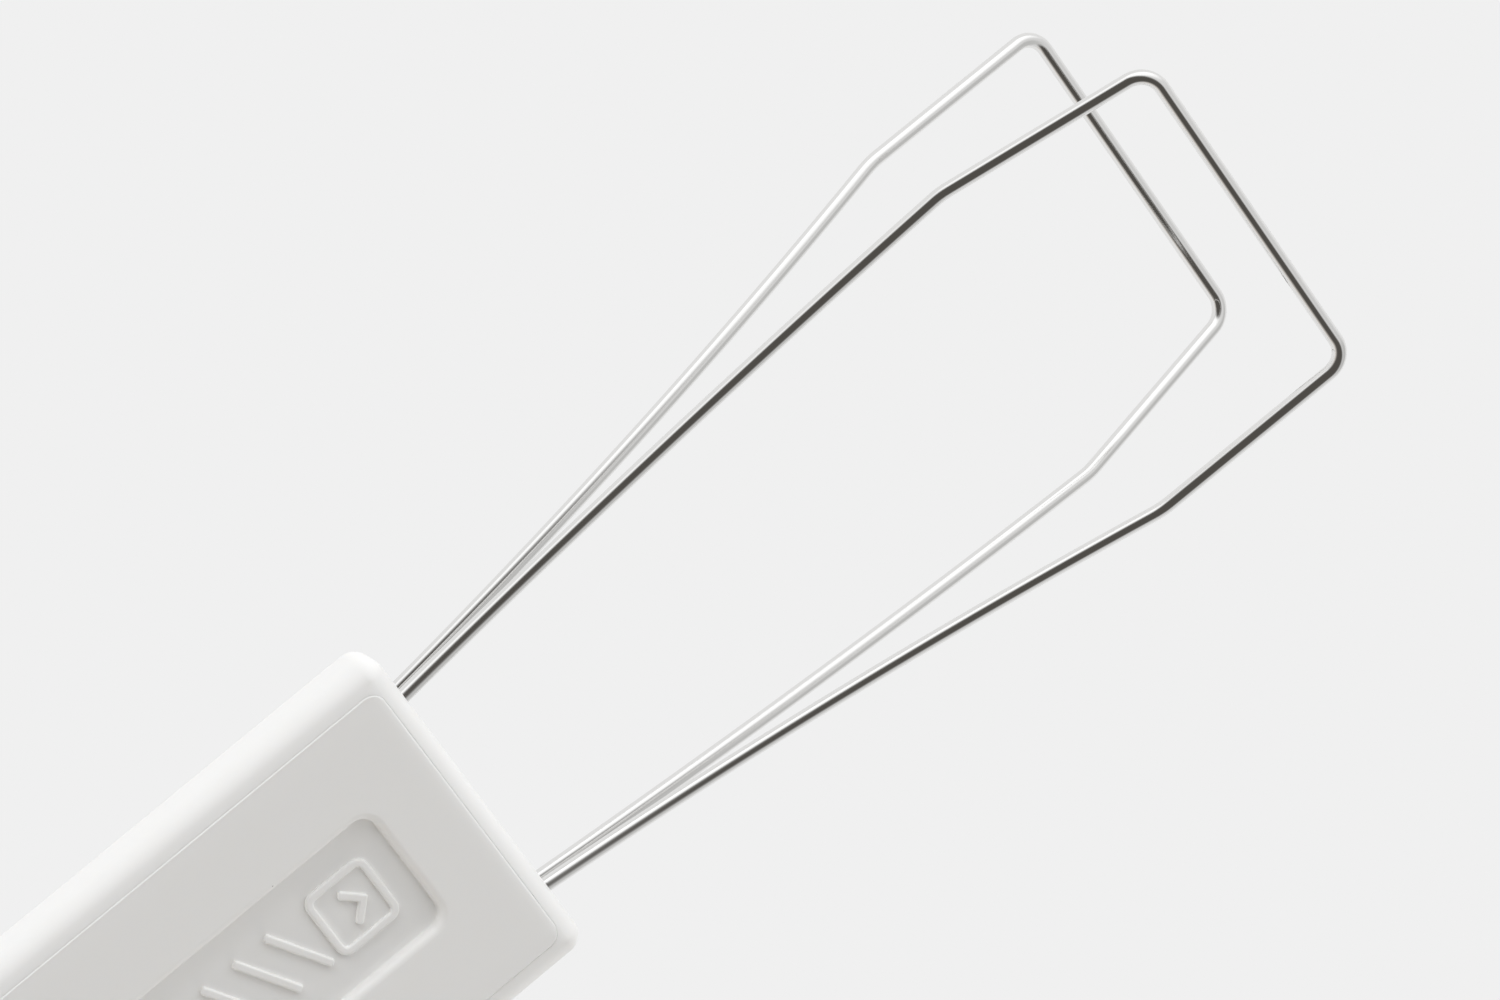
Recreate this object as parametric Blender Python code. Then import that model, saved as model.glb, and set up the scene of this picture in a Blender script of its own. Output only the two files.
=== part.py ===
"""Wire keycap puller: a moulded handle with a face cover, and two sprung wire loops.

The handle lies flat. X runs across it, Y runs along it towards the wire tips and +Z points out of its
face. The origin is the middle of the handle's flat back. Sizes are in metres.
"""

import math

import bmesh
import bpy
from mathutils import Matrix, Vector

# ---- handle body ----
HANDLE_WIDTH = 0.0247
HANDLE_LENGTH = 0.047
OUTLINE_RADIUS = 0.0014
FACE_EDGE_RADIUS = 0.0019
BACK_EDGE_RADIUS = 0.0019
SIDE_WALL = 0.0024
END_WALL = 0.0022
BACK_WALL = 0.00096
CAVITY_RADIUS = 0.0008

# ---- face cover ----
COVER_SIDE_MARGIN = 0.00172
COVER_END_MARGIN = 0.00132
COVER_PLATE = 0.0012
COVER_PROUD = 0.0001
COVER_RADIUS = 0.0011
PANEL_SIDE_MARGIN = 0.00785
PANEL_END_MARGIN = 0.00656
PANEL_DEPTH = 0.0009
PANEL_RADIUS = 0.0012
PANEL_RIM_RADIUS = 0.00055
PANEL_FLOOR = 0.0006
PANEL_WALL = 0.0009

# ---- raised emblem: a keycap outline with a lift arrow, then a row of slanted bars ----
EMBLEM_HEIGHT = 0.0003
EMBLEM_STROKE = 0.00055
EMBLEM_SIZE = 0.0050
EMBLEM_RADIUS = 0.0009
EMBLEM_END_MARGIN = 0.0019
ARROW_ARM = 0.0020
ARROW_RISE = 0.0004
ARROW_LEAN = math.radians(45.0)
BAR_COUNT = 4
BAR_GAP = 0.0019
BAR_PITCH = 0.0026
BAR_LEAN = math.radians(30.0)

# ---- wire ----
WIRE_DIAMETER = 0.0010
LOOP_SIDE_OFFSET = -0.00015
LEG_SIDE_MARGIN = 0.00423
LEG_STACK_GAP = 0.0008
LEG_CURVE_RADIUS = 0.2195
LEG_SIDE_BOW = 0.00014
SHOULDER_HALF_WIDTH = 0.01332
SHOULDER_SIDE_OFFSET = 0.00028
SHOULDER_SETBACK = 0.01498
TIP_HALF_WIDTH = 0.0121
TIP_REACH = 0.06156
TIP_SPREAD = 0.00986
CORNER_BEND_RADIUS = 0.0017
SHOULDER_BEND_RADIUS = 0.0060
MOUTH_BEND_RADIUS = 0.0030
HOOK_DEPTH = 0.0100
HOOK_LENGTH = 0.0038

# ---- fits ----
CLEARANCE = 0.0003
WIRE_SPACE = 0.00029
PEG_RADIUS = 0.0009
PEG_LENGTH = 0.0022
PEG_SOCKET_WALL = 0.0005
PAD_WIDTH = 0.0020
PAD_LENGTH = 0.0010
INNER_PAD_SETBACK = 0.0058

# ---- where each loop flexes, as a share of its free length ----
FLEX_POINT = 0.15

ARC_STEPS = 6
LEG_STEPS = 14
ROUND_STEPS = 24
BEND_STEP = math.radians(10.0)
SMALLEST_RADIUS = 0.00015
SUNK = 0.0002

# ---- worked out from the sizes above, from the back wall up through the wires to the cover ----
HALF_WIDTH = HANDLE_WIDTH / 2
MOUTH_Y = HANDLE_LENGTH / 2
WIRE_RADIUS = WIRE_DIAMETER / 2
LEG_STACK_HALF_PITCH = WIRE_RADIUS + LEG_STACK_GAP / 2
LEG_STACK_HALF_HEIGHT = LEG_STACK_HALF_PITCH + WIRE_RADIUS
LEG_HALF_SPACING = HALF_WIDTH - LEG_SIDE_MARGIN
WIRE_PLANE_HEIGHT = BACK_WALL + WIRE_SPACE + LEG_STACK_HALF_HEIGHT
TUB_UNDERSIDE = WIRE_PLANE_HEIGHT + LEG_STACK_HALF_HEIGHT + WIRE_SPACE
PANEL_FLOOR_TOP = TUB_UNDERSIDE + PANEL_FLOOR
COVER_TOP = PANEL_FLOOR_TOP + PANEL_DEPTH
HANDLE_THICKNESS = COVER_TOP - COVER_PROUD
PLATE_UNDERSIDE = COVER_TOP - COVER_PLATE
PANEL_HALF_WIDTH = HALF_WIDTH - PANEL_SIDE_MARGIN
PANEL_HALF_LENGTH = MOUTH_Y - PANEL_END_MARGIN
CAVITY_HALF_WIDTH = HALF_WIDTH - SIDE_WALL
CAVITY_HALF_LENGTH = MOUTH_Y - END_WALL
INNER_POST_TOP = TUB_UNDERSIDE - CLEARANCE
SHOULDER_REACH = TIP_REACH - SHOULDER_SETBACK
FLEX_Y = FLEX_POINT * TIP_REACH


def clear_scene():
    for old in list(bpy.data.objects):
        bpy.data.objects.remove(old, do_unlink=True)


def plain_material(name, color, roughness, metallic):
    material = bpy.data.materials.new(name)
    material.use_nodes = True
    shader = material.node_tree.nodes["Principled BSDF"]
    shader.inputs["Base Color"].default_value = (*color, 1.0)
    shader.inputs["Roughness"].default_value = roughness
    shader.inputs["Metallic"].default_value = metallic
    return material


def add_object(name, mesh, material=None):
    """Put a mesh in the scene as a named part, shaded smooth."""
    part = bpy.data.objects.new(name, mesh)
    bpy.context.scene.collection.objects.link(part)
    if material:
        mesh.materials.append(material)
    mesh.shade_smooth()
    mesh.set_sharp_from_angle(angle=math.radians(30.0))
    return part


def mesh_from(bm, name):
    """Finish a bmesh as a mesh whose faces point out."""
    bmesh.ops.recalc_face_normals(bm, faces=bm.faces)
    mesh = bpy.data.meshes.new(name)
    bm.to_mesh(mesh)
    bm.free()
    return mesh


def boolean(part, operation, tool):
    """Cut a part with a tool, or join the tool to it, and keep the tool out of the model."""
    modifier = part.modifiers.new(f"{operation}_{tool.name}", "BOOLEAN")
    modifier.operation = operation
    modifier.solver = "EXACT"
    modifier.object = tool
    tool.hide_render = True
    tool.display_type = "WIRE"


def rounded_rectangle(half_width, half_length, radius):
    """Points round a rectangle with round corners, in the XY plane, counter-clockwise."""
    corners = [
        (half_width - radius, half_length - radius, 0.0),
        (radius - half_width, half_length - radius, 90.0),
        (radius - half_width, radius - half_length, 180.0),
        (half_width - radius, radius - half_length, 270.0),
    ]
    points = []
    for centre_x, centre_y, start in corners:
        for step in range(ARC_STEPS + 1):
            angle = math.radians(start + 90.0 * step / ARC_STEPS)
            points.append((centre_x + radius * math.cos(angle), centre_y + radius * math.sin(angle)))
    return points


def edge_rings(half_width, half_length, outline_radius, edge_radius, z_start, direction):
    """Levels of a rounded edge: from its flat side (inset by the edge radius) to its upright side."""
    rings = []
    for step in range(ARC_STEPS + 1):
        angle = math.radians(90.0 * step / ARC_STEPS)
        inset = edge_radius * (1.0 - math.sin(angle))
        radius = max(outline_radius - inset, SMALLEST_RADIUS)
        z = z_start + direction * edge_radius * (1.0 - math.cos(angle))
        rings.append((half_width - inset, half_length - inset, radius, z))
    return rings


def loft(name, rings):
    """A closed solid through rounded rectangles, from its underside up; flat faces close both ends."""
    bm = bmesh.new()
    levels = []
    for half_width, half_length, radius, z in rings:
        points = rounded_rectangle(half_width, half_length, radius)
        levels.append([bm.verts.new((x, y, z)) for x, y in points])
    for lower, upper in zip(levels, levels[1:]):
        for i in range(len(lower)):
            bm.faces.new((lower[i - 1], lower[i], upper[i], upper[i - 1]))
    bm.faces.new(reversed(levels[0]))
    bm.faces.new(levels[-1])
    mesh = bpy.data.meshes.new(name)
    bm.to_mesh(mesh)
    bm.free()
    return mesh


def cylinder(name, radius, x, y, z_low, z_high):
    bm = bmesh.new()
    middle = Matrix.Translation((x, y, (z_low + z_high) / 2))
    bmesh.ops.create_cone(
        bm,
        cap_ends=True,
        segments=ROUND_STEPS,
        radius1=radius,
        radius2=radius,
        depth=z_high - z_low,
        matrix=middle,
    )
    return add_object(name, mesh_from(bm, name))


def block(name, size, centre, turn=0.0):
    """A plain box, turned about Z through its own centre."""
    bm = bmesh.new()
    place = Matrix.Translation(centre) @ Matrix.Rotation(turn, 4, "Z") @ Matrix.Diagonal((*size, 1.0))
    bmesh.ops.create_cube(bm, size=1.0, matrix=place)
    return add_object(name, mesh_from(bm, name))


# ---- wire routes ----


def leg_x(side):
    """Where a leg of the front loop crosses the handle's mouth; side is -1 on the left, 1 on the right."""
    return side * LEG_HALF_SPACING


def hook_y():
    return MOUTH_Y - HOOK_DEPTH


def post_centre(side):
    """An anchor post stands in the inside of the hook's bend."""
    x = leg_x(side) - side * CORNER_BEND_RADIUS
    return Vector((x, hook_y() + CORNER_BEND_RADIUS, 0.0))


def leg_point(side, share):
    """A point on a free leg, as a share of the way from the mouth to the shoulder.

    The leg leaves the mouth level and curves steadily outward, and it bows a little inward sideways.
    """
    shoulder_x = side * SHOULDER_HALF_WIDTH + SHOULDER_SIDE_OFFSET
    bow = side * LEG_SIDE_BOW * 4.0 * share * (1.0 - share)
    x = leg_x(side) + (shoulder_x - leg_x(side)) * share - bow
    reach = SHOULDER_REACH * share
    return Vector((x, MOUTH_Y + reach, LEG_STACK_HALF_PITCH + reach**2 / (2.0 * LEG_CURVE_RADIUS)))


def front_loop_corners():
    """The front loop's points, hook end to hook end, each with its bend radius, about its own axis.

    A point with no bend radius is one that the wire passes through.
    """
    half = []
    for side in (-1, 1):
        corners = [
            (Vector((leg_x(side) - side * HOOK_LENGTH, hook_y(), LEG_STACK_HALF_PITCH)), 0.0),
            (Vector((leg_x(side), hook_y(), LEG_STACK_HALF_PITCH)), CORNER_BEND_RADIUS),
            (leg_point(side, 0.0), MOUTH_BEND_RADIUS),
        ]
        corners += [(leg_point(side, step / LEG_STEPS), 0.0) for step in range(1, LEG_STEPS)]
        tip = Vector((side * TIP_HALF_WIDTH, MOUTH_Y + TIP_REACH, TIP_SPREAD))
        corners += [(leg_point(side, 1.0), SHOULDER_BEND_RADIUS), (tip, CORNER_BEND_RADIUS)]
        half.append(corners)
    return half[0] + half[1][::-1]


def bent_route(corners):
    """Points along straight runs joined by round bends; a point with no bend radius is passed through."""
    points = [corners[0][0]]
    for (before, _), (corner, radius), (after, _) in zip(corners, corners[1:], corners[2:]):
        if not radius:
            points.append(corner)
            continue
        back = (before - corner).normalized()
        ahead = (after - corner).normalized()
        turn = math.pi - back.angle(ahead)
        setback = radius * math.tan(turn / 2)
        centre = corner + (back + ahead).normalized() * radius / math.cos(turn / 2)
        start = corner + back * setback - centre
        axis = start.cross(corner + ahead * setback - centre).normalized()
        steps = max(2, math.ceil(turn / BEND_STEP))
        for step in range(steps + 1):
            points.append(centre + Matrix.Rotation(turn * step / steps, 3, axis) @ start)
    points.append(corners[-1][0])
    return points


def split_route(points, y_cut, gap):
    """Cut a route where its legs cross y_cut, and leave a gap between the pieces.

    Gives the first root, the free loop between the cuts and the second root.
    """
    pieces = [[points[0]]]
    for start, end in zip(points, points[1:]):
        if (start.y - y_cut) * (end.y - y_cut) < 0:
            cut = start.lerp(end, (y_cut - start.y) / (end.y - start.y))
            half_gap = (end - start).normalized() * gap / 2
            pieces[-1].append(cut - half_gap)
            pieces.append([cut + half_gap])
        pieces[-1].append(end)
    return pieces


def place_in_handle(point, turned):
    """Set a loop's point in the handle; the back loop is the same part turned half a turn."""
    facing = -1.0 if turned else 1.0
    return Vector((facing * point.x + LOOP_SIDE_OFFSET, point.y, facing * point.z + WIRE_PLANE_HEIGHT))


def wire(name, points, material, origin):
    """A round wire with closed ends, through points given in the handle's frame."""
    curve = bpy.data.curves.new(name, "CURVE")
    curve.dimensions = "3D"
    curve.bevel_depth = WIRE_RADIUS
    curve.bevel_resolution = 4
    curve.use_fill_caps = True
    spline = curve.splines.new("POLY")
    spline.points.add(len(points) - 1)
    for target, point in zip(spline.points, points):
        target.co = (*(point - origin), 1.0)
    curve.materials.append(material)
    part = bpy.data.objects.new(name, curve)
    part.location = origin
    bpy.context.scene.collection.objects.link(part)
    return part


# ---- the pieces ----


def build_handle_body(plastic):
    opening_half_width = HALF_WIDTH - COVER_SIDE_MARGIN + CLEARANCE
    opening_half_length = MOUTH_Y - COVER_END_MARGIN + CLEARANCE
    ledge_z = PLATE_UNDERSIDE - CLEARANCE
    rings = edge_rings(HALF_WIDTH, MOUTH_Y, OUTLINE_RADIUS, BACK_EDGE_RADIUS, 0.0, 1.0)
    face_edge = edge_rings(HALF_WIDTH, MOUTH_Y, OUTLINE_RADIUS, FACE_EDGE_RADIUS, HANDLE_THICKNESS, -1.0)
    opening_inset = max(COVER_SIDE_MARGIN, COVER_END_MARGIN) - CLEARANCE
    rings += [ring for ring in reversed(face_edge) if HALF_WIDTH - ring[0] < opening_inset]
    rings += [
        (opening_half_width, opening_half_length, COVER_RADIUS + CLEARANCE, HANDLE_THICKNESS),
        (opening_half_width, opening_half_length, COVER_RADIUS + CLEARANCE, ledge_z),
        (CAVITY_HALF_WIDTH, CAVITY_HALF_LENGTH, CAVITY_RADIUS, ledge_z),
        (CAVITY_HALF_WIDTH, CAVITY_HALF_LENGTH, CAVITY_RADIUS, BACK_WALL),
    ]
    body = add_object("handle_body", loft("handle_body", rings), plastic)

    for side, word in ((-1, "left"), (1, "right")):
        post = post_centre(side)
        post_radius = CORNER_BEND_RADIUS - WIRE_RADIUS - CLEARANCE
        x = post.x + LOOP_SIDE_OFFSET
        low = BACK_WALL - SUNK
        boolean(body, "UNION", cylinder(f"post_{word}", post_radius, x, post.y, low, INNER_POST_TOP))
        boolean(body, "DIFFERENCE", mouth_hole(f"mouth_hole_{word}", leg_x(side) + LOOP_SIDE_OFFSET))

    for end, word in ((-1, "tail"), (1, "mouth")):
        y = end * peg_y()
        outer = PEG_RADIUS + CLEARANCE + PEG_SOCKET_WALL
        low = BACK_WALL - SUNK
        boolean(body, "UNION", cylinder(f"socket_{word}", outer, 0.0, y, low, INNER_POST_TOP))
        bore_floor = PLATE_UNDERSIDE - PEG_LENGTH - CLEARANCE
        bore = cylinder(f"socket_bore_{word}", PEG_RADIUS + CLEARANCE, 0.0, y, bore_floor, HANDLE_THICKNESS)
        boolean(body, "DIFFERENCE", bore)
    return body


def mouth_hole(name, x):
    """Upright slot with round ends through the end wall, for the two legs on one side."""
    reach = END_WALL + 2 * FACE_EDGE_RADIUS
    radius = WIRE_RADIUS + CLEARANCE
    bm = bmesh.new()
    points = []
    for centre_z, start in ((LEG_STACK_HALF_PITCH, 0.0), (-LEG_STACK_HALF_PITCH, 180.0)):
        for step in range(ROUND_STEPS // 2 + 1):
            angle = math.radians(start + 360.0 * step / ROUND_STEPS)
            points.append((x + radius * math.cos(angle), centre_z + radius * math.sin(angle)))
    y = MOUTH_Y - END_WALL - FACE_EDGE_RADIUS
    verts = [bm.verts.new((px, y, WIRE_PLANE_HEIGHT + pz)) for px, pz in points]
    face = bm.faces.new(verts)
    pulled = bmesh.ops.extrude_face_region(bm, geom=[face])
    moved = [item for item in pulled["geom"] if isinstance(item, bmesh.types.BMVert)]
    bmesh.ops.translate(bm, vec=(0.0, reach, 0.0), verts=moved)
    return add_object(name, mesh_from(bm, name))


def peg_y():
    """The cover's pegs stand between the sunken panel and the end wall."""
    return (PANEL_HALF_LENGTH + PANEL_WALL + CAVITY_HALF_LENGTH) / 2


def build_face_cover(plastic):
    cover_half_width = HALF_WIDTH - COVER_SIDE_MARGIN
    cover_half_length = MOUTH_Y - COVER_END_MARGIN
    tub_half_width = PANEL_HALF_WIDTH + PANEL_WALL
    tub_half_length = PANEL_HALF_LENGTH + PANEL_WALL
    tub_radius = PANEL_RADIUS + PANEL_WALL
    rings = [
        (tub_half_width, tub_half_length, tub_radius, TUB_UNDERSIDE),
        (tub_half_width, tub_half_length, tub_radius, PLATE_UNDERSIDE),
        (cover_half_width, cover_half_length, COVER_RADIUS, PLATE_UNDERSIDE),
        (cover_half_width, cover_half_length, COVER_RADIUS, COVER_TOP),
    ]
    for step in range(ARC_STEPS + 1):
        angle = math.radians(90.0 * step / ARC_STEPS)
        outset = PANEL_RIM_RADIUS * (1.0 - math.sin(angle))
        z = COVER_TOP - PANEL_RIM_RADIUS * (1.0 - math.cos(angle))
        rings.append((PANEL_HALF_WIDTH + outset, PANEL_HALF_LENGTH + outset, PANEL_RADIUS + outset, z))
    rings.append((PANEL_HALF_WIDTH, PANEL_HALF_LENGTH, PANEL_RADIUS, PANEL_FLOOR_TOP))
    cover = add_object("face_cover", loft("face_cover", rings), plastic)

    for end, word in ((-1, "tail"), (1, "mouth")):
        peg_low = PLATE_UNDERSIDE - PEG_LENGTH
        peg = cylinder(f"peg_{word}", PEG_RADIUS, 0.0, end * peg_y(), peg_low, PLATE_UNDERSIDE + SUNK)
        boolean(cover, "UNION", peg)

    pad_low = WIRE_PLANE_HEIGHT + LEG_STACK_HALF_PITCH + WIRE_RADIUS + CLEARANCE
    pad_high = PLATE_UNDERSIDE + SUNK
    for side, side_word in ((-1, "left"), (1, "right")):
        for y, word in ((MOUTH_Y - INNER_PAD_SETBACK, "inner"), (peg_y(), "outer")):
            size = (PAD_WIDTH, PAD_LENGTH, pad_high - pad_low)
            centre = (leg_x(side) + LOOP_SIDE_OFFSET, y, (pad_low + pad_high) / 2)
            boolean(cover, "UNION", block(f"pad_{side_word}_{word}", size, centre))

    add_emblem(cover)
    return cover


def add_emblem(cover):
    """Raised generic marks on the panel's floor: an outlined keycap, a lift arrow and slanted bars."""
    low = PANEL_FLOOR_TOP - SUNK
    high = PANEL_FLOOR_TOP + EMBLEM_HEIGHT
    middle_z = (low + high) / 2
    half = EMBLEM_SIZE / 2
    cap_y = PANEL_HALF_LENGTH - EMBLEM_END_MARGIN - half

    hollow_half = half - EMBLEM_STROKE
    hollow_radius = EMBLEM_RADIUS - EMBLEM_STROKE
    outline = add_object("cap_outline", loft("cap_outline", upright_levels(half, EMBLEM_RADIUS, low, high)))
    hollow_levels = upright_levels(hollow_half, hollow_radius, low - SUNK, high + SUNK)
    hollow = add_object("cap_hollow", loft("cap_hollow", hollow_levels))
    for part in (outline, hollow):
        part.location.y = cap_y
    boolean(outline, "DIFFERENCE", hollow)
    boolean(cover, "UNION", outline)

    for side, word in ((-1, "left"), (1, "right")):
        x = side * (ARROW_ARM - EMBLEM_STROKE) / 2 * math.cos(ARROW_LEAN)
        size = (ARROW_ARM, EMBLEM_STROKE, high - low)
        stroke = block(f"arrow_{word}", size, (x, cap_y + ARROW_RISE, middle_z), -side * ARROW_LEAN)
        boolean(cover, "UNION", stroke)

    for index in range(BAR_COUNT):
        y = cap_y - half - BAR_GAP - BAR_PITCH * index
        size = (EMBLEM_SIZE, EMBLEM_STROKE, high - low)
        bar = block(f"bar_{index + 1}", size, (0.0, y, middle_z), BAR_LEAN)
        boolean(cover, "UNION", bar)


def upright_levels(half, radius, low, high):
    """The two levels of an upright rounded square."""
    return [(half, half, radius, low), (half, half, radius, high)]


def build_wire_loop(word, turned, steel):
    """One wire loop: two roots fixed in the handle, and the free loop that flexes beyond the mouth."""
    route = bent_route(front_loop_corners())
    pieces = split_route(route, MOUTH_Y + FLEX_Y, CLEARANCE)
    first, free, second = [[place_in_handle(point, turned) for point in piece] for piece in pieces]
    for side, points in ((-1, first), (1, second)):
        mouth = place_in_handle(Vector((leg_x(side), MOUTH_Y, LEG_STACK_HALF_PITCH)), turned)
        side_word = "left" if mouth.x < 0.0 else "right"
        wire(f"{word}_root_{side_word}", points, steel, mouth)
    flex_height = (first[-1].z + free[0].z + free[-1].z + second[0].z) / 4
    wire(f"{word}_loop", free, steel, Vector((0.0, MOUTH_Y + FLEX_Y, flex_height)))


def build():
    clear_scene()
    body_plastic = plain_material("body_plastic", (0.86, 0.86, 0.85), 0.42, 0.0)
    cover_plastic = plain_material("cover_plastic", (0.84, 0.84, 0.83), 0.45, 0.0)
    steel = plain_material("polished_steel", (0.62, 0.61, 0.59), 0.18, 1.0)
    build_handle_body(body_plastic)
    build_face_cover(cover_plastic)
    build_wire_loop("front", False, steel)
    build_wire_loop("back", True, steel)


build()
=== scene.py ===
"""Wire keycap puller: the finished surfaces, set on a pale studio floor.

The handle lies flat. X runs across it, Y runs along it towards the wire tips and +Z points out of its
face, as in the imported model. Sizes are in metres.
"""

import math

import bmesh
import bpy
from mathutils import Matrix, Vector


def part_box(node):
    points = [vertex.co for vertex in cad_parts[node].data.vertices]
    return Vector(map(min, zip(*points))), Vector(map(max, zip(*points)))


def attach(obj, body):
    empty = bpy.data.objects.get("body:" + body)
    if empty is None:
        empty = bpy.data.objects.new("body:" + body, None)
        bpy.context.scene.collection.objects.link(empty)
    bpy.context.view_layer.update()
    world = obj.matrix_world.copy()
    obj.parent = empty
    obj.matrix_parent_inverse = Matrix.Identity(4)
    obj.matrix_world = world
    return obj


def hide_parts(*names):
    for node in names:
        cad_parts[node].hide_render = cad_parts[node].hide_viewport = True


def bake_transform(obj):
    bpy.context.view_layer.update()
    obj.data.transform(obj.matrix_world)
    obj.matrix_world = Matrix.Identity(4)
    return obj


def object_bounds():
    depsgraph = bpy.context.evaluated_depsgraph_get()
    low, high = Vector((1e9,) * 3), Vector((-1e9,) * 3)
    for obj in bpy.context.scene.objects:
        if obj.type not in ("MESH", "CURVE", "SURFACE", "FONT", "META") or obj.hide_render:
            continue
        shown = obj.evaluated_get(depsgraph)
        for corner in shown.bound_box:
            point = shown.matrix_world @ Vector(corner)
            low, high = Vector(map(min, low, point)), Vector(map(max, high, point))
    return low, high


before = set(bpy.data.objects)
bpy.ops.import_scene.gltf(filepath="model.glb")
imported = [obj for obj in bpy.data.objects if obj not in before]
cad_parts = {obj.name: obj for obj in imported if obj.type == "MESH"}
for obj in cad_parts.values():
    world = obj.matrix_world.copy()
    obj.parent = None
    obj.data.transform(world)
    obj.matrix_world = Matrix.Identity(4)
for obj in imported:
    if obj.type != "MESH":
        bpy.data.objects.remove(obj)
CAD_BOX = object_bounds()

# ---- handle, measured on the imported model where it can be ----
_, BODY_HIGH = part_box("handle_body")
_, COVER_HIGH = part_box("face_cover")
HALF_WIDTH = BODY_HIGH.x
HALF_LENGTH = BODY_HIGH.y
FACE_Z = BODY_HIGH.z
COVER_TOP = COVER_HIGH.z
OUTLINE_RADIUS = 0.0014
FACE_EDGE_RADIUS = 0.0019
BACK_EDGE_RADIUS = 0.0019
SIDE_WALL = 0.0024
END_WALL = 0.0022
BACK_WALL = 0.00096
CAVITY_RADIUS = 0.0008
SEAT_GAP = 0.000004
SEAT_CHAMFER = 0.00001

# ---- face cover ----
COVER_HALF_WIDTH = COVER_HIGH.x
COVER_HALF_LENGTH = COVER_HIGH.y
COVER_PLATE = 0.0012
COVER_RADIUS = 0.0011
COVER_CHAMFER = 0.00009
CROWN_WIDTH = 0.0013
CROWN_DROP = 0.00003
PANEL_HALF_WIDTH = 0.0045
PANEL_HALF_LENGTH = 0.01694
PANEL_DEPTH = 0.0009
PANEL_RADIUS = 0.0012
PANEL_RIM_RADIUS = 0.00055
PANEL_FOOT_RADIUS = 0.00012
PANEL_FLOOR = 0.0006
PANEL_WALL = 0.0009
PEG_RADIUS = 0.0009
PEG_LENGTH = 0.0022
SOCKET_WALL = 0.0005
FIT = 0.0003

# ---- raised emblem ----
EMBLEM_HEIGHT = 0.00032
EMBLEM_STROKE = 0.00055
EMBLEM_SIZE = 0.0050
EMBLEM_RADIUS = 0.0009
EMBLEM_END_MARGIN = 0.0019
EMBLEM_SOFTNESS = 0.00016
EMBLEM_RIM_SOFTNESS = EMBLEM_SOFTNESS * 0.95
EMBLEM_STEPS = 5
ARROW_ARM = 0.0020
ARROW_RISE = 0.0004
ARROW_LEAN = math.radians(45.0)
BAR_COUNT = 4
BAR_GAP = 0.0019
BAR_PITCH = 0.0026
BAR_LEAN = math.radians(30.0)

# ---- wire ----
WIRE_DIAMETER = 0.0010
WIRE_RADIUS = WIRE_DIAMETER / 2
HOLE_GAP = 0.00005
LOOP_SIDE_OFFSET = -0.00015
LEG_HALF_SPACING = HALF_WIDTH - 0.00423
LEG_STACK_HALF_PITCH = 0.0009
LEG_CURVE_RADIUS = 0.2195
LEG_SIDE_BOW = 0.00014
SHOULDER_HALF_WIDTH = 0.01332
SHOULDER_SIDE_OFFSET = 0.00028
SHOULDER_SETBACK = 0.01498
TIP_HALF_WIDTH = 0.0121
TIP_REACH = 0.06156
TIP_SPREAD = 0.00986
CORNER_BEND_RADIUS = 0.0017
SHOULDER_BEND_RADIUS = 0.0060
MOUTH_BEND_RADIUS = 0.0030
HOOK_DEPTH = 0.0100
HOOK_LENGTH = 0.0038
WIRE_PLANE_HEIGHT = 0.00265
DRAWING_STRETCH = 0.8
DRAWING_FINENESS = 4.0

# ---- fineness ----
ARC_STEPS = 12
LEG_STEPS = 40
BEND_STEP = math.radians(3.0)
LONGEST_STEP = 0.0012
WIRE_SIDES_SETTING = 12
ROUND_STEPS = 48
SMALLEST_RADIUS = 0.00015
SUNK = 0.00008
LEVEL_TOLERANCE = 1e-6
MERGE_DISTANCE = 1e-7
CREASE_ANGLE = 40.0
WIRE_CREASE_ANGLE = 60.0
NORMAL_WEIGHT = 60

# ---- white plastic: its colour, its warmer clouds and its roughness ----
WHITE_MOULDING = ((0.905, 0.902, 0.895), (0.90, 0.895, 0.878), 0.42)
WHITE_FACE = ((0.90, 0.896, 0.888), (0.893, 0.888, 0.870), 0.45)
CLOUD_SCALE = 260.0
GRAIN_SCALE = 9000.0
GRAIN_STRENGTH = 0.10
BUMP_DISTANCE = 0.00001
POLISH_SPREAD = 0.05
DUST_SCALE = 420.0
SPECK_CORE = 0.018
SPECK_EDGE = 0.030
SPECK_RARITY = 0.93
SPECK_COLOR = (0.32, 0.30, 0.28, 1.0)
PLASTIC_IOR = 1.53
PLASTIC_GLOSS = 0.5
SCATTER_SHARE = 0.12
SCATTER_RADIUS = (1.0, 0.9, 0.8)
SCATTER_SCALE = 0.0006

# ---- spring steel ----
STEEL_LOW = (0.79, 0.785, 0.775, 1.0)
STEEL_HIGH = (0.88, 0.875, 0.865, 1.0)
STEEL_SMOOTHEST = 0.09
STEEL_ROUGHEST = 0.16
STEEL_BUMP = 0.02

# ---- studio ----
CAMERA_PLACE = Vector((-0.182758, -0.035866, 0.480157))
CAMERA_TURN = tuple(math.radians(turn) for turn in (-10.6124, -20.0723, 54.0215))
CAMERA_LENS = 191.703
CAMERA_SENSOR = 36.0
CAMERA_NEAREST = 0.01
PALE = (0.8714, 0.8714, 0.8714)
FLOOR_DROP = 0.0005
FLOOR_HALF_SIZE = 4.0
STUDIO_BASE = (0.77, 0.77, 0.77)
EVEN_SHAPE = (1.0, 1.0, 1.0)
DARK_SHAPE = (0.78, 1.4, 1.0)
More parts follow.
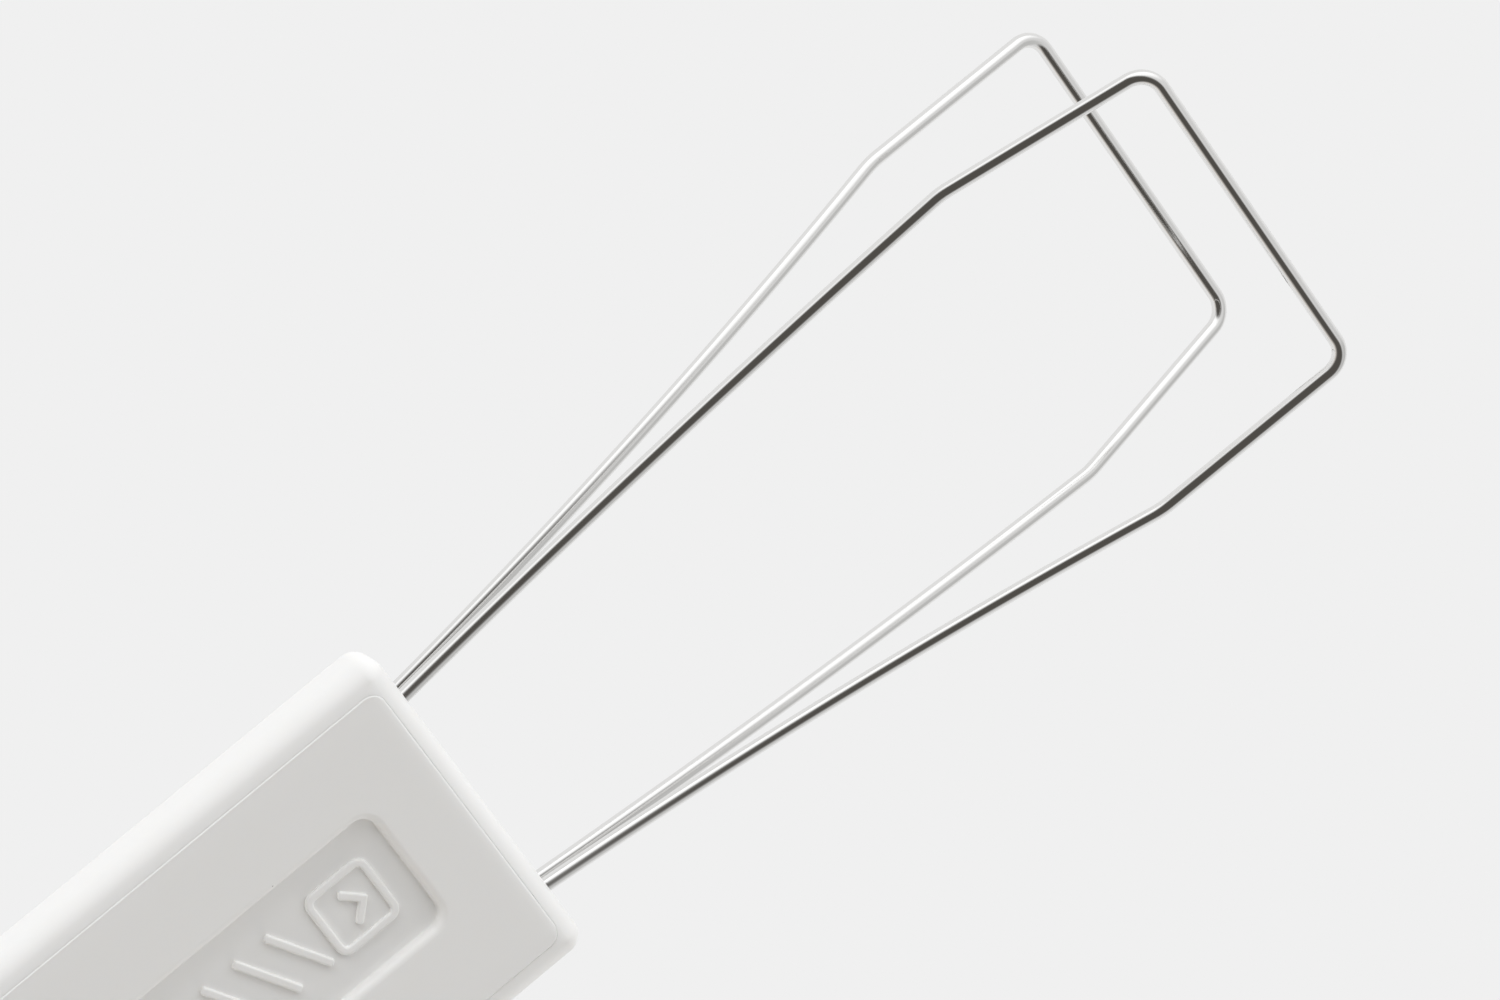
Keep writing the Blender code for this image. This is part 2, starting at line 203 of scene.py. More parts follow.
# Each patch's direction, where it starts, where it is full, its shape and its colour, lowest layer first.
STUDIO_PATCHES = (
    ((0.80, 0.45, 0.40), 0.75, 0.98, EVEN_SHAPE, (0.57, 0.57, 0.565)),
    ((-0.78, 0.60, 0.15), 0.45, 0.95, EVEN_SHAPE, (1.27, 1.275, 1.285)),
    ((0.10, -0.95, 0.20), 0.35, 0.90, EVEN_SHAPE, (0.78, 0.74, 0.695)),
    ((-0.10, -0.36, 0.93), 0.47, 0.83, DARK_SHAPE, (0.090, 0.084, 0.076)),
)
FILL_SIZE = 1.0
FILL_DISTANCE = 1.5
COOL = (0.97, 0.985, 1.0)
WARM = (1.0, 0.975, 0.94)
# Each panel's name, its turn round the handle, its height in degrees, its power and its colour.
FILL_PANELS = (
    ("left_fill", 175.0, 14.0, 5.5, COOL),
    ("end_fill", 90.0, 14.0, 3.9, COOL),
    ("right_fill", 0.0, 14.0, 4.1, WARM),
    ("near_fill", -90.0, 16.0, 4.4, WARM),
    ("top_fill", 0.0, 90.0, 1.7, WARM),
)

MOUTH_Y = HALF_LENGTH
SHOULDER_REACH = TIP_REACH - SHOULDER_SETBACK
PLATE_UNDERSIDE = COVER_TOP - COVER_PLATE
PANEL_FLOOR_TOP = COVER_TOP - PANEL_DEPTH
TUB_UNDERSIDE = PANEL_FLOOR_TOP - PANEL_FLOOR


# ---- mesh tools ----


def rounded_rectangle(half_width, half_length, radius, z):
    """Points round a rectangle with round corners, counter-clockwise, at one height."""
    points = []
    for quarter, (sign_x, sign_y) in enumerate(((1, 1), (-1, 1), (-1, -1), (1, -1))):
        centre = Vector((sign_x * (half_width - radius), sign_y * (half_length - radius), z))
        for step in range(ARC_STEPS + 1):
            angle = math.radians(90.0 * (quarter + step / ARC_STEPS))
            points.append(centre + Vector((math.cos(angle), math.sin(angle), 0.0)) * radius)
    return points


def edge_rings(half_width, half_length, outline_radius, edge_radius, z_start, direction):
    """Levels of a rounded edge: from its flat side to its upright side."""
    rings = []
    for step in range(ARC_STEPS + 1):
        angle = math.radians(90.0 * step / ARC_STEPS)
        inset = edge_radius * (1.0 - math.sin(angle))
        radius = max(outline_radius - inset, SMALLEST_RADIUS)
        z = z_start + direction * edge_radius * (1.0 - math.cos(angle))
        rings.append((half_width - inset, half_length - inset, radius, z))
    return rings


def loft(rings, closed=False):
    """A solid pulled up through rounded rectangles.

    closed joins the last level to the first instead of capping both ends.
    """
    bm = bmesh.new()
    place = bm.verts.layers.int.new("place")
    outline = [bm.verts.new(point) for point in rounded_rectangle(*rings[0])]
    for index, vert in enumerate(outline):
        vert[place] = index
    base = bm.faces.new(outline)
    edges = list(base.edges)
    if closed:
        bmesh.ops.delete(bm, geom=[base], context="FACES_ONLY")
    for ring in rings[1:]:
        pulled = bmesh.ops.extrude_edge_only(bm, edges=edges)["geom"]
        edges = [item for item in pulled if isinstance(item, bmesh.types.BMEdge)]
        points = rounded_rectangle(*ring)
        for vert in (item for item in pulled if isinstance(item, bmesh.types.BMVert)):
            vert.co = points[vert[place]]
    if closed:
        bmesh.ops.remove_doubles(bm, verts=bm.verts, dist=MERGE_DISTANCE)
    else:
        bmesh.ops.contextual_create(bm, geom=edges)
    bm.verts.layers.int.remove(place)
    face_outwards(bm)
    return bm


def face_outwards(bm):
    """Make every face point out of its closed solid."""
    bmesh.ops.recalc_face_normals(bm, faces=bm.faces)
    if bm.calc_volume(signed=True) < 0.0:
        bmesh.ops.reverse_faces(bm, faces=bm.faces)


def follow_edge(bm, low):
    """Lower what lies above one height by as much as the handle's rounded front edge falls away there."""
    for vert in (vert for vert in bm.verts if vert.co.z > low):
        depth = min(HALF_WIDTH - abs(vert.co.x), HALF_LENGTH - abs(vert.co.y))
        short = max(FACE_EDGE_RADIUS - depth, 0.0)
        vert.co.z -= FACE_EDGE_RADIUS - math.sqrt(FACE_EDGE_RADIUS**2 - short**2)


def cylinder(radius, x, y, z_low, z_high):
    bm = bmesh.new()
    bmesh.ops.create_cone(
        bm,
        cap_ends=True,
        segments=ROUND_STEPS,
        radius1=radius,
        radius2=radius,
        depth=z_high - z_low,
        matrix=Matrix.Translation((x, y, (z_low + z_high) / 2)),
    )
    return bm


def soft_stroke(length, width, low, high, centre, turn):
    """A short raised bar with round ends in plan and soft upper edges."""
    bm = bmesh.new()
    bmesh.ops.create_cube(bm, size=1.0, matrix=Matrix.Diagonal((length, width, high - low, 1.0)))
    uprights = [edge for edge in bm.edges if abs(edge.verts[0].co.z - edge.verts[1].co.z) > LEVEL_TOLERANCE]
    bevel(bm, uprights, EMBLEM_SOFTNESS, EMBLEM_STEPS)
    top = max(vert.co.z for vert in bm.verts)
    rim = [edge for edge in bm.edges if all(vert.co.z > top - MERGE_DISTANCE for vert in edge.verts)]
    bevel(bm, rim, EMBLEM_RIM_SOFTNESS, EMBLEM_STEPS)
    place = Matrix.Translation((*centre, (low + high) / 2)) @ Matrix.Rotation(turn, 4, "Z")
    bmesh.ops.transform(bm, matrix=place, verts=bm.verts)
    return bm


def bevel(bm, edges, width, segments):
    bmesh.ops.bevel(
        bm,
        geom=edges,
        offset=width,
        offset_type="OFFSET",
        affect="EDGES",
        segments=segments,
        profile=0.5,
        material=-1,
        clamp_overlap=True,
    )


def to_mesh(bm, name):
    mesh = bpy.data.meshes.new(name)
    bm.to_mesh(mesh)
    bm.free()
    return mesh


def add_piece(name, mesh, material, sharp=CREASE_ANGLE):
    """Put a finished mesh in the scene, shaded smooth but for its real edges."""
    piece = bpy.data.objects.new(name, mesh)
    bpy.context.scene.collection.objects.link(piece)
    mesh.materials.clear()
    mesh.materials.append(material)
    mesh.shade_smooth()
    mesh.set_sharp_from_angle(angle=math.radians(sharp))
    return piece


def combine(base, tools):
    """Join solids to a solid or cut them from it; tools are pairs of an operation and a bmesh."""
    scene = bpy.context.scene.collection
    work = bpy.data.objects.new("work", to_mesh(base, "work"))
    scene.objects.link(work)
    helpers = []
    for operation, bm in tools:
        helper = bpy.data.objects.new("helper", to_mesh(bm, "helper"))
        scene.objects.link(helper)
        modifier = work.modifiers.new(operation, "BOOLEAN")
        modifier.operation = operation
        modifier.solver = "EXACT"
        modifier.object = helper
        helpers.append(helper)
    bpy.context.view_layer.update()
    graph = bpy.context.evaluated_depsgraph_get()
    mesh = bpy.data.meshes.new_from_object(work.evaluated_get(graph))
    for used in [work, *helpers]:
        bpy.data.objects.remove(used)
    return mesh


def weigh_normals(piece):
    modifier = piece.modifiers.new("weighted_normals", "WEIGHTED_NORMAL")
    modifier.keep_sharp = True
    modifier.weight = NORMAL_WEIGHT


# ---- wire routes ----


def leg_x(side):
    return side * LEG_HALF_SPACING


def leg_point(side, share):
    """A point on a free leg.

    The leg leaves the mouth level and curves outward, bowing a little inward sideways.
    """
    shoulder_x = side * SHOULDER_HALF_WIDTH + SHOULDER_SIDE_OFFSET
    bow = side * LEG_SIDE_BOW * 4.0 * share * (1.0 - share)
    x = leg_x(side) + (shoulder_x - leg_x(side)) * share - bow
    reach = SHOULDER_REACH * share
    return Vector((x, MOUTH_Y + reach, LEG_STACK_HALF_PITCH + reach**2 / (2.0 * LEG_CURVE_RADIUS)))


def front_loop_corners():
    """The front loop's points, hook end to hook end, each with its bend radius, about its own axis."""
    half = []
    for side in (-1, 1):
        hook_y = MOUTH_Y - HOOK_DEPTH
        corners = [
            (Vector((leg_x(side) - side * HOOK_LENGTH, hook_y, LEG_STACK_HALF_PITCH)), 0.0),
            (Vector((leg_x(side), hook_y, LEG_STACK_HALF_PITCH)), CORNER_BEND_RADIUS),
            (leg_point(side, 0.0), MOUTH_BEND_RADIUS),
        ]
        corners += [(leg_point(side, step / LEG_STEPS), 0.0) for step in range(1, LEG_STEPS)]
        tip = Vector((side * TIP_HALF_WIDTH, MOUTH_Y + TIP_REACH, TIP_SPREAD))
        corners += [(leg_point(side, 1.0), SHOULDER_BEND_RADIUS), (tip, CORNER_BEND_RADIUS)]
        half.append(corners)
    return half[0] + half[1][::-1]


def bent_route(corners):
    """Points along straight runs joined by round bends; a point with no bend radius is passed through."""
    points = [corners[0][0]]
    for (before, _), (corner, radius), (after, _) in zip(corners, corners[1:], corners[2:]):
        if not radius:
            points.append(corner)
            continue
        back = (before - corner).normalized()
        ahead = (after - corner).normalized()
        turn = math.pi - back.angle(ahead)
        setback = radius * math.tan(turn / 2)
        centre = corner + (back + ahead).normalized() * radius / math.cos(turn / 2)
        start = corner + back * setback - centre
        axis = start.cross(corner + ahead * setback - centre).normalized()
        steps = max(2, math.ceil(turn / BEND_STEP))
        for step in range(steps + 1):
            points.append(centre + Matrix.Rotation(turn * step / steps, 3, axis) @ start)
    points.append(corners[-1][0])
    return points


def evened(points):
    """The same route with no stretch between points longer than the longest step."""
    fine = [points[0]]
    for start, end in zip(points, points[1:]):
        steps = math.ceil((end - start).length / LONGEST_STEP)
        fine += [start.lerp(end, step / steps) for step in range(1, steps + 1)]
    return fine


def place_in_handle(point, turned):
    """Set a loop's point in the handle; the back loop is the same part turned half a turn."""
    facing = -1.0 if turned else 1.0
    return Vector((facing * point.x + LOOP_SIDE_OFFSET, point.y, facing * point.z + WIRE_PLANE_HEIGHT))


# ---- materials ----


def new_material(name):
    material = bpy.data.materials.new(name)
    material.use_nodes = True
    nodes = material.node_tree.nodes
    return material, nodes, material.node_tree.links, nodes["Principled BSDF"]


def add_node(nodes, kind, settings=(), **inputs):
    node = nodes.new(kind)
    for name, value in dict(settings).items():
        setattr(node, name, value)
    for name, value in inputs.items():
        node.inputs[name.replace("_", " ")].default_value = value
    return node


def moulded_plastic(name, color, warm, roughness):
    """Satin white injection moulding: faint cloudiness, a fine grain and a rare dark speck."""
    material, nodes, links, shader = new_material(name)
    place = nodes.new("ShaderNodeTexCoord").outputs["Object"]

    clouds = add_node(nodes, "ShaderNodeTexNoise", Scale=CLOUD_SCALE, Detail=3.0, Roughness=0.5)
    links.new(place, clouds.inputs["Vector"])
    tint = nodes.new("ShaderNodeMix")
    tint.data_type = "RGBA"
    tint.inputs["A"].default_value = (*color, 1.0)
    tint.inputs["B"].default_value = (*warm, 1.0)
    links.new(clouds.outputs["Fac"], tint.inputs["Factor"])

    dust = add_node(nodes, "ShaderNodeTexVoronoi", Scale=DUST_SCALE, Randomness=1.0)
    links.new(place, dust.inputs["Vector"])
    speck = nodes.new("ShaderNodeMapRange")
    speck.inputs["From Min"].default_value = SPECK_CORE
    speck.inputs["From Max"].default_value = SPECK_EDGE
    speck.inputs["To Min"].default_value = 1.0
    speck.inputs["To Max"].default_value = 0.0
    links.new(dust.outputs["Distance"], speck.inputs["Value"])
    rare = add_node(nodes, "ShaderNodeMath", {"operation": "GREATER_THAN"})
    rare.inputs[1].default_value = SPECK_RARITY
    split = nodes.new("ShaderNodeSeparateColor")
    links.new(dust.outputs["Color"], split.inputs["Color"])
    links.new(split.outputs["Red"], rare.inputs[0])
    shown = add_node(nodes, "ShaderNodeMath", {"operation": "MULTIPLY"})
    links.new(speck.outputs["Result"], shown.inputs[0])
    links.new(rare.outputs["Value"], shown.inputs[1])
    specked = nodes.new("ShaderNodeMix")
    specked.data_type = "RGBA"
    specked.inputs["B"].default_value = SPECK_COLOR
    links.new(shown.outputs["Value"], specked.inputs["Factor"])
    links.new(tint.outputs["Result"], specked.inputs["A"])
    links.new(specked.outputs["Result"], shader.inputs["Base Color"])

    grain = add_node(nodes, "ShaderNodeTexNoise", Scale=GRAIN_SCALE, Detail=2.0, Roughness=0.6)
    links.new(place, grain.inputs["Vector"])
    polish = nodes.new("ShaderNodeMapRange")
    polish.inputs["To Min"].default_value = roughness - POLISH_SPREAD
    polish.inputs["To Max"].default_value = roughness + POLISH_SPREAD
    links.new(clouds.outputs["Fac"], polish.inputs["Value"])
    links.new(polish.outputs["Result"], shader.inputs["Roughness"])
    bump = add_node(nodes, "ShaderNodeBump", Strength=GRAIN_STRENGTH, Distance=BUMP_DISTANCE)
    links.new(grain.outputs["Fac"], bump.inputs["Height"])
    links.new(bump.outputs["Normal"], shader.inputs["Normal"])
    shader.inputs["IOR"].default_value = PLASTIC_IOR
    shader.inputs["Specular IOR Level"].default_value = PLASTIC_GLOSS
    shader.inputs["Subsurface Weight"].default_value = SCATTER_SHARE
    shader.inputs["Subsurface Radius"].default_value = SCATTER_RADIUS
    shader.inputs["Subsurface Scale"].default_value = SCATTER_SCALE
    return material


def drawn_steel(name):
    """Polished stainless spring wire with faint drawing lines along its length."""
    material, nodes, links, shader = new_material(name)
    place = nodes.new("ShaderNodeSeparateXYZ")
    links.new(nodes.new("ShaderNodeUVMap").outputs["UV"], place.inputs["Vector"])
    wrapped = nodes.new("ShaderNodeCombineXYZ")
    along = add_node(nodes, "ShaderNodeMath", {"operation": "MULTIPLY"})
    along.inputs[1].default_value = DRAWING_STRETCH
    links.new(place.outputs["X"], along.inputs[0])
    links.new(along.outputs["Value"], wrapped.inputs["X"])
    turn = add_node(nodes, "ShaderNodeMath", {"operation": "MULTIPLY"})
    turn.inputs[1].default_value = 2.0 * math.pi
    links.new(place.outputs["Y"], turn.inputs[0])
    for axis, operation in (("Y", "COSINE"), ("Z", "SINE")):
        round_it = add_node(nodes, "ShaderNodeMath", {"operation": operation})
        links.new(turn.outputs["Value"], round_it.inputs[0])
        links.new(round_it.outputs["Value"], wrapped.inputs[axis])
    lines = add_node(nodes, "ShaderNodeTexNoise", Scale=DRAWING_FINENESS, Detail=3.0, Roughness=0.55)
    links.new(wrapped.outputs["Vector"], lines.inputs["Vector"])

    tone = nodes.new("ShaderNodeMix")
    tone.data_type = "RGBA"
    tone.inputs["A"].default_value = STEEL_LOW
    tone.inputs["B"].default_value = STEEL_HIGH
    links.new(lines.outputs["Fac"], tone.inputs["Factor"])
    links.new(tone.outputs["Result"], shader.inputs["Base Color"])
    polish = nodes.new("ShaderNodeMapRange")
    polish.inputs["To Min"].default_value = STEEL_SMOOTHEST
    polish.inputs["To Max"].default_value = STEEL_ROUGHEST
    links.new(lines.outputs["Fac"], polish.inputs["Value"])
    links.new(polish.outputs["Result"], shader.inputs["Roughness"])
    bump = add_node(nodes, "ShaderNodeBump", Strength=STEEL_BUMP, Distance=BUMP_DISTANCE)
    links.new(lines.outputs["Fac"], bump.inputs["Height"])
    links.new(bump.outputs["Normal"], shader.inputs["Normal"])
    shader.inputs["Metallic"].default_value = 1.0
    return material


# ---- the pieces ----


def build_handle(plastic):
    seat_half_width = COVER_HALF_WIDTH + SEAT_GAP
    seat_half_length = COVER_HALF_LENGTH + SEAT_GAP
    seat_radius = COVER_RADIUS + SEAT_GAP
    ledge_z = PLATE_UNDERSIDE - SEAT_GAP
    rings = edge_rings(HALF_WIDTH, HALF_LENGTH, OUTLINE_RADIUS, BACK_EDGE_RADIUS, 0.0, 1.0)
    face = edge_rings(HALF_WIDTH, HALF_LENGTH, OUTLINE_RADIUS, FACE_EDGE_RADIUS, FACE_Z, -1.0)
    limit = HALF_LENGTH - seat_half_length - SEAT_CHAMFER
    rings += [ring for ring in reversed(face) if HALF_LENGTH - ring[1] < limit]
    rim = SEAT_CHAMFER
    rings += [
        (seat_half_width + rim, seat_half_length + rim, seat_radius + rim, FACE_Z),
        (seat_half_width, seat_half_length, seat_radius, FACE_Z - rim),
        (seat_half_width, seat_half_length, seat_radius, ledge_z),
        (HALF_WIDTH - SIDE_WALL, HALF_LENGTH - END_WALL, CAVITY_RADIUS, ledge_z),
        (HALF_WIDTH - SIDE_WALL, HALF_LENGTH - END_WALL, CAVITY_RADIUS, BACK_WALL),
    ]
    shell = loft(rings)
    follow_edge(shell, FACE_Z - 2.0 * SEAT_CHAMFER)
    tools = []
    for side in (-1, 1):
        post_radius = CORNER_BEND_RADIUS - WIRE_RADIUS - FIT
        x = leg_x(side) - side * CORNER_BEND_RADIUS + LOOP_SIDE_OFFSET
        y = MOUTH_Y - HOOK_DEPTH + CORNER_BEND_RADIUS
        tools.append(("UNION", cylinder(post_radius, x, y, BACK_WALL - SUNK, TUB_UNDERSIDE - FIT)))
        for level in (-1, 1):
            z = WIRE_PLANE_HEIGHT + level * LEG_STACK_HALF_PITCH
            tools.append(("DIFFERENCE", wire_hole(leg_x(side) + LOOP_SIDE_OFFSET, z)))
    for end in (-1, 1):
        outer = PEG_RADIUS + FIT + SOCKET_WALL
        y = end * peg_y()
        bore_floor = PLATE_UNDERSIDE - PEG_LENGTH - FIT
        tools.append(("UNION", cylinder(outer, 0.0, y, BACK_WALL - SUNK, TUB_UNDERSIDE - FIT)))
        tools.append(("DIFFERENCE", cylinder(PEG_RADIUS + SEAT_GAP, 0.0, y, bore_floor, FACE_Z)))
    handle = add_piece("handle_shell", combine(shell, tools), plastic)
    weigh_normals(handle)
    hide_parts("handle_body")
    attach(handle, "handle")


def wire_hole(x, z):
    """A round bore through the end wall for one leg."""
    bm = bmesh.new()
    depth = END_WALL + 2 * FACE_EDGE_RADIUS
    place = Matrix.Translation((x, MOUTH_Y - END_WALL / 2, z)) @ Matrix.Rotation(math.pi / 2, 4, "X")
    radius = WIRE_RADIUS + HOLE_GAP
    bmesh.ops.create_cone(
        bm, cap_ends=True, segments=ROUND_STEPS, radius1=radius, radius2=radius, depth=depth, matrix=place
    )
    return bm


def peg_y():
    return (PANEL_HALF_LENGTH + PANEL_WALL + HALF_LENGTH - END_WALL) / 2


def build_cover(plastic):
    tub = (PANEL_HALF_WIDTH + PANEL_WALL, PANEL_HALF_LENGTH + PANEL_WALL, PANEL_RADIUS + PANEL_WALL)
    edge = (COVER_HALF_WIDTH, COVER_HALF_LENGTH, COVER_RADIUS)
    rings = [
        (*tub, TUB_UNDERSIDE),
        (*tub, PLATE_UNDERSIDE),
        (*edge, PLATE_UNDERSIDE),
        (*edge, COVER_TOP - CROWN_DROP - COVER_CHAMFER),
    ]
    for step in range(ARC_STEPS + 1):
        share = step / ARC_STEPS
        inset = COVER_CHAMFER + (CROWN_WIDTH - COVER_CHAMFER) * share
        z = COVER_TOP - CROWN_DROP * (1.0 + math.cos(math.pi * share)) / 2
        radius = max(COVER_RADIUS - inset, SMALLEST_RADIUS)
        rings.append((COVER_HALF_WIDTH - inset, COVER_HALF_LENGTH - inset, radius, z))
    for step in range(ARC_STEPS + 1):
        angle = math.radians(90.0 * step / ARC_STEPS)
        outset = PANEL_RIM_RADIUS * (1.0 - math.sin(angle))
        z = COVER_TOP - PANEL_RIM_RADIUS * (1.0 - math.cos(angle))
        rings.append((PANEL_HALF_WIDTH + outset, PANEL_HALF_LENGTH + outset, PANEL_RADIUS + outset, z))
    for step in range(ARC_STEPS // 2 + 1):
        angle = math.radians(90.0 * step / (ARC_STEPS // 2))
        inset = PANEL_FOOT_RADIUS * (1.0 - math.cos(angle))
        z = PANEL_FLOOR_TOP + PANEL_FOOT_RADIUS * (1.0 - math.sin(angle))
        rings.append((PANEL_HALF_WIDTH - inset, PANEL_HALF_LENGTH - inset, PANEL_RADIUS - inset, z))
    plate = loft(rings)
    follow_edge(plate, COVER_TOP - PANEL_DEPTH / 2)
    tools = []
    for end in (-1, 1):
        low = PLATE_UNDERSIDE - PEG_LENGTH
        tools.append(("UNION", cylinder(PEG_RADIUS, 0.0, end * peg_y(), low, PLATE_UNDERSIDE + SUNK)))
    tools += [("UNION", bm) for bm in emblem_strokes()]
    cover = add_piece("face_plate", combine(plate, tools), plastic)
    weigh_normals(cover)
    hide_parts("face_cover")
    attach(cover, "handle")


def emblem_strokes():
    """Raised generic marks on the panel's floor: an outlined keycap, a lift arrow and slanted bars."""
    low = PANEL_FLOOR_TOP - SUNK
    high = PANEL_FLOOR_TOP + EMBLEM_HEIGHT
    half = EMBLEM_SIZE / 2
    cap_y = PANEL_HALF_LENGTH - EMBLEM_END_MARGIN - half
    strokes = [cap_outline(half, cap_y, low, high)]
    for side in (-1, 1):
        x = side * (ARROW_ARM - EMBLEM_STROKE) / 2 * math.cos(ARROW_LEAN)
        centre = (x, cap_y + ARROW_RISE)
        strokes.append(soft_stroke(ARROW_ARM, EMBLEM_STROKE, low, high, centre, -side * ARROW_LEAN))
    for index in range(BAR_COUNT):
        centre = (0.0, cap_y - half - BAR_GAP - BAR_PITCH * index)
        strokes.append(soft_stroke(EMBLEM_SIZE, EMBLEM_STROKE, low, high, centre, BAR_LEAN))
    return strokes


def cap_outline(half, cap_y, low, high):
    """A raised square frame with round corners and soft upper edges."""
    inner = half - EMBLEM_STROKE
    soft = EMBLEM_SOFTNESS
    rings = [(half, half, EMBLEM_RADIUS, low)]
    for step in range(EMBLEM_STEPS + 1):
        angle = math.radians(90.0 * step / EMBLEM_STEPS)
        inset = soft * (1.0 - math.cos(angle))
        z = high - soft * (1.0 - math.sin(angle))
        rings.append((half - inset, half - inset, EMBLEM_RADIUS - inset, z))
    for step in range(EMBLEM_STEPS + 1):
        angle = math.radians(90.0 * step / EMBLEM_STEPS)
        outset = soft * (1.0 - math.sin(angle))
        radius = EMBLEM_RADIUS - EMBLEM_STROKE + outset
        z = high - soft * (1.0 - math.cos(angle))
        rings.append((inner + outset, inner + outset, radius, z))
    rings.append((inner, inner, EMBLEM_RADIUS - EMBLEM_STROKE, low))
    rings.append(rings[0])
    bm = loft(rings, closed=True)
    bmesh.ops.translate(bm, vec=(0.0, cap_y, 0.0), verts=bm.verts)
    return bm


def build_wire(word, turned, steel):
    """One loop of bent spring wire, from hook end to hook end, with a round bend where its legs leave the
    handle.
    """
    route = [place_in_handle(point, turned) for point in evened(bent_route(front_loop_corners()))]
    curve = bpy.data.curves.new("route", "CURVE")
    curve.dimensions = "3D"
    curve.bevel_depth = WIRE_RADIUS
    curve.bevel_resolution = WIRE_SIDES_SETTING
    curve.use_fill_caps = True
    spline = curve.splines.new("POLY")
    spline.points.add(len(route) - 1)
    for target, point in zip(spline.points, route):
        target.co = (*point, 1.0)
    guide = bpy.data.objects.new("route", curve)
    bpy.context.scene.collection.objects.link(guide)
    bpy.context.view_layer.update()
    graph = bpy.context.evaluated_depsgraph_get()
    mesh = bpy.data.meshes.new_from_object(guide.evaluated_get(graph))
    bpy.data.objects.remove(guide)
    loop = add_piece(f"{word}_wire_loop", mesh, steel, sharp=WIRE_CREASE_ANGLE)
    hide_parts(f"{word}_root_left", f"{word}_root_right", f"{word}_loop")
    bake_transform(loop)


# ---- studio ----


def build_floor():
    bm = bmesh.new()
    low = CAD_BOX[0].z - FLOOR_DROP
    bmesh.ops.create_grid(
        bm, x_segments=1, y_segments=1, size=FLOOR_HALF_SIZE, matrix=Matrix.Translation((0.0, 0.0, low))
    )
    floor = bpy.data.objects.new("floor", to_mesh(bm, "floor"))
    bpy.context.scene.collection.objects.link(floor)
    material = bpy.data.materials.new("pale_floor")
    material.use_nodes = True
    nodes = material.node_tree.nodes
    nodes.remove(nodes["Principled BSDF"])
    glow = add_node(nodes, "ShaderNodeEmission", Color=(*PALE, 1.0), Strength=1.0)
    material.node_tree.links.new(glow.outputs["Emission"], nodes["Material Output"].inputs["Surface"])
    floor.data.materials.append(material)


def zone(nodes, links, direction, centre, start, full, shape):
    """How far a direction is inside a patch of the studio: 0 outside, 1 in its middle; shape narrows it."""
    narrowed = add_node(nodes, "ShaderNodeVectorMath", {"operation": "MULTIPLY"})
    narrowed.inputs[1].default_value = shape
    links.new(direction, narrowed.inputs[0])
    unit = add_node(nodes, "ShaderNodeVectorMath", {"operation": "NORMALIZE"})
    links.new(narrowed.outputs["Vector"], unit.inputs[0])
    near = add_node(nodes, "ShaderNodeVectorMath", {"operation": "DOT_PRODUCT"})
    near.inputs[1].default_value = Vector(a * b for a, b in zip(centre, shape)).normalized()
    links.new(unit.outputs["Vector"], near.inputs[0])
    share = add_node(nodes, "ShaderNodeMapRange", {"interpolation_type": "SMOOTHSTEP"})
    share.inputs["From Min"].default_value = start
    share.inputs["From Max"].default_value = full
    links.new(near.outputs["Value"], share.inputs["Value"])
    return share.outputs["Result"]


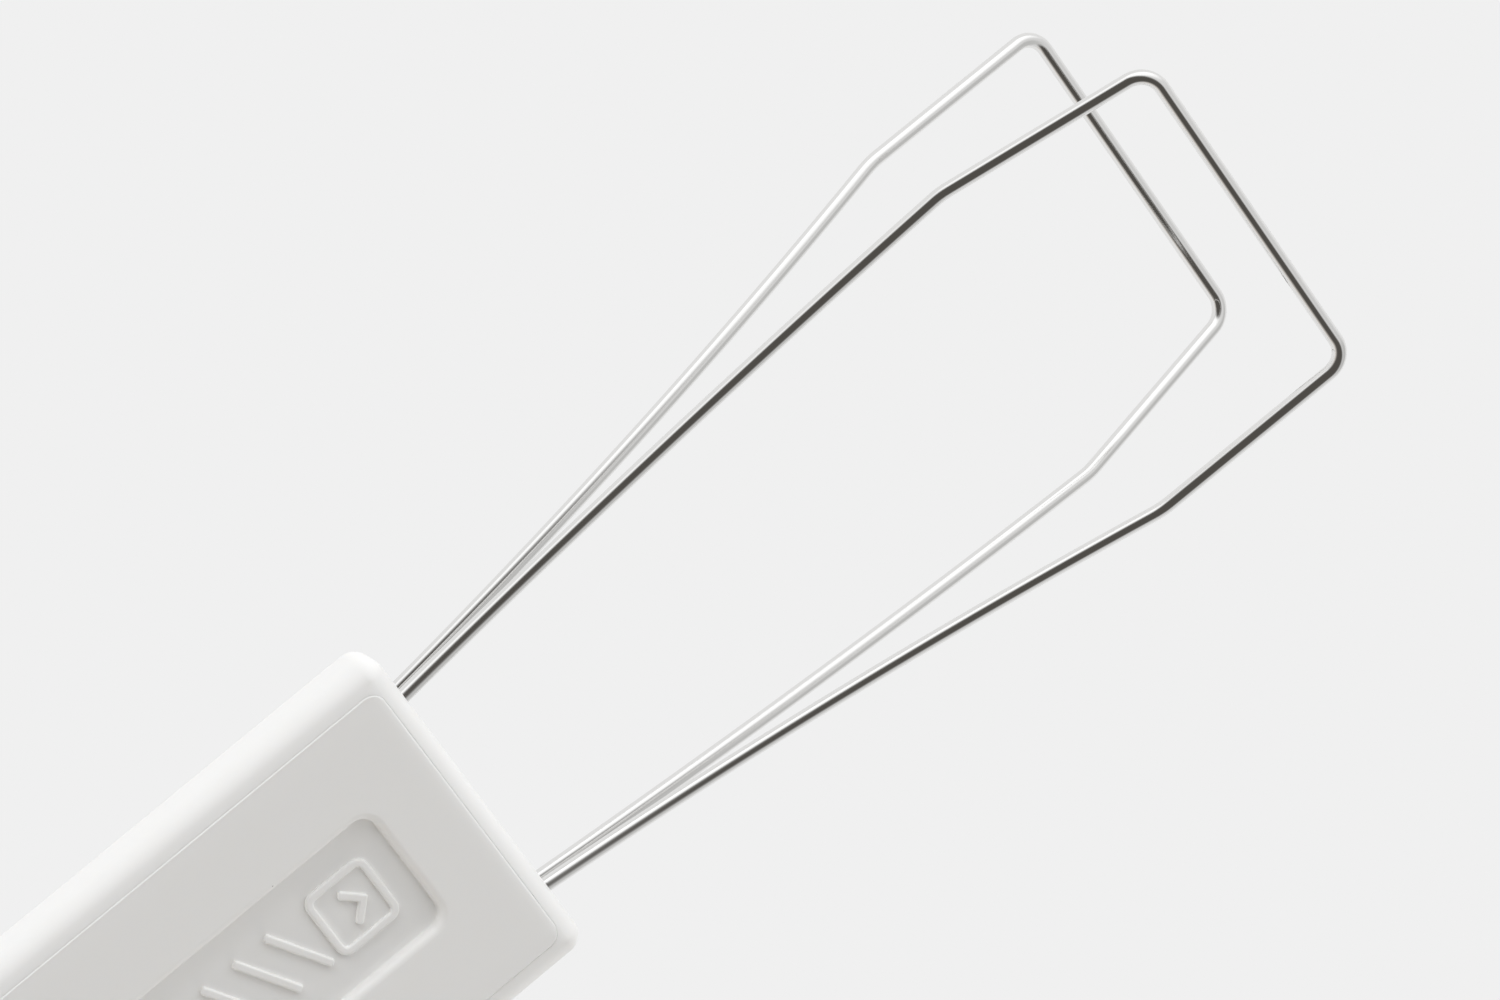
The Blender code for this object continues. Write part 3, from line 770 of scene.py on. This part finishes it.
def build_studio():
    """Soft light from all round, with a dark patch overhead and a bright panel to one side of the tips."""
    world = bpy.data.worlds.new("studio")
    bpy.context.scene.world = world
    world.use_nodes = True
    nodes, links = world.node_tree.nodes, world.node_tree.links
    direction = nodes.new("ShaderNodeTexCoord").outputs["Generated"]
    tone = None
    for centre, start, full, shape, color in STUDIO_PATCHES:
        mix = nodes.new("ShaderNodeMix")
        mix.data_type = "RGBA"
        mix.inputs["B"].default_value = (*color, 1.0)
        if tone is None:
            mix.inputs["A"].default_value = (*STUDIO_BASE, 1.0)
        else:
            links.new(tone, mix.inputs["A"])
        share = zone(nodes, links, direction, centre, start, full, shape)
        links.new(share, mix.inputs["Factor"])
        tone = mix.outputs["Result"]
    light = nodes["Background"]
    links.new(tone, light.inputs["Color"])
    backdrop = add_node(nodes, "ShaderNodeBackground", Color=(*PALE, 1.0), Strength=1.0)
    seen = nodes.new("ShaderNodeLightPath").outputs["Is Camera Ray"]
    choose = nodes.new("ShaderNodeMixShader")
    links.new(seen, choose.inputs["Fac"])
    links.new(light.outputs["Background"], choose.inputs[1])
    links.new(backdrop.outputs["Background"], choose.inputs[2])
    links.new(choose.outputs["Shader"], nodes["World Output"].inputs["Surface"])


def build_fill():
    """Soft panels round and above the handle that light the plastic.

    They stay out of the wire's reflections.
    """
    for name, turn, elevation, power, color in FILL_PANELS:
        light = bpy.data.lights.new(name, "AREA")
        light.shape = "DISK"
        light.size = FILL_SIZE
        light.energy = power
        light.color = color
        around, rise = math.radians(turn), math.radians(elevation)
        level = math.cos(rise)
        towards = Vector((math.cos(around) * level, math.sin(around) * level, math.sin(rise)))
        panel = bpy.data.objects.new(name, light)
        panel.location = towards * FILL_DISTANCE
        panel.rotation_euler = towards.to_track_quat("Z", "Y").to_euler()
        panel.visible_glossy = False
        panel.visible_camera = False
        bpy.context.scene.collection.objects.link(panel)


def build_camera():
    camera = bpy.data.cameras.new("camera")
    camera.lens = CAMERA_LENS
    camera.sensor_width = CAMERA_SENSOR
    camera.sensor_fit = "HORIZONTAL"
    camera.clip_start = CAMERA_NEAREST
    place = bpy.data.objects.new("camera", camera)
    place.location = CAMERA_PLACE
    place.rotation_euler = CAMERA_TURN
    bpy.context.scene.collection.objects.link(place)
    bpy.context.scene.camera = place


bpy.context.scene.view_settings.view_transform = "Standard"
build_camera()
build_studio()
build_fill()
build_floor()
white = moulded_plastic("white_moulding", *WHITE_MOULDING)
face_white = moulded_plastic("white_face", *WHITE_FACE)
steel = drawn_steel("drawn_spring_steel")
build_handle(white)
build_cover(face_white)
build_wire("front", False, steel)
build_wire("back", True, steel)
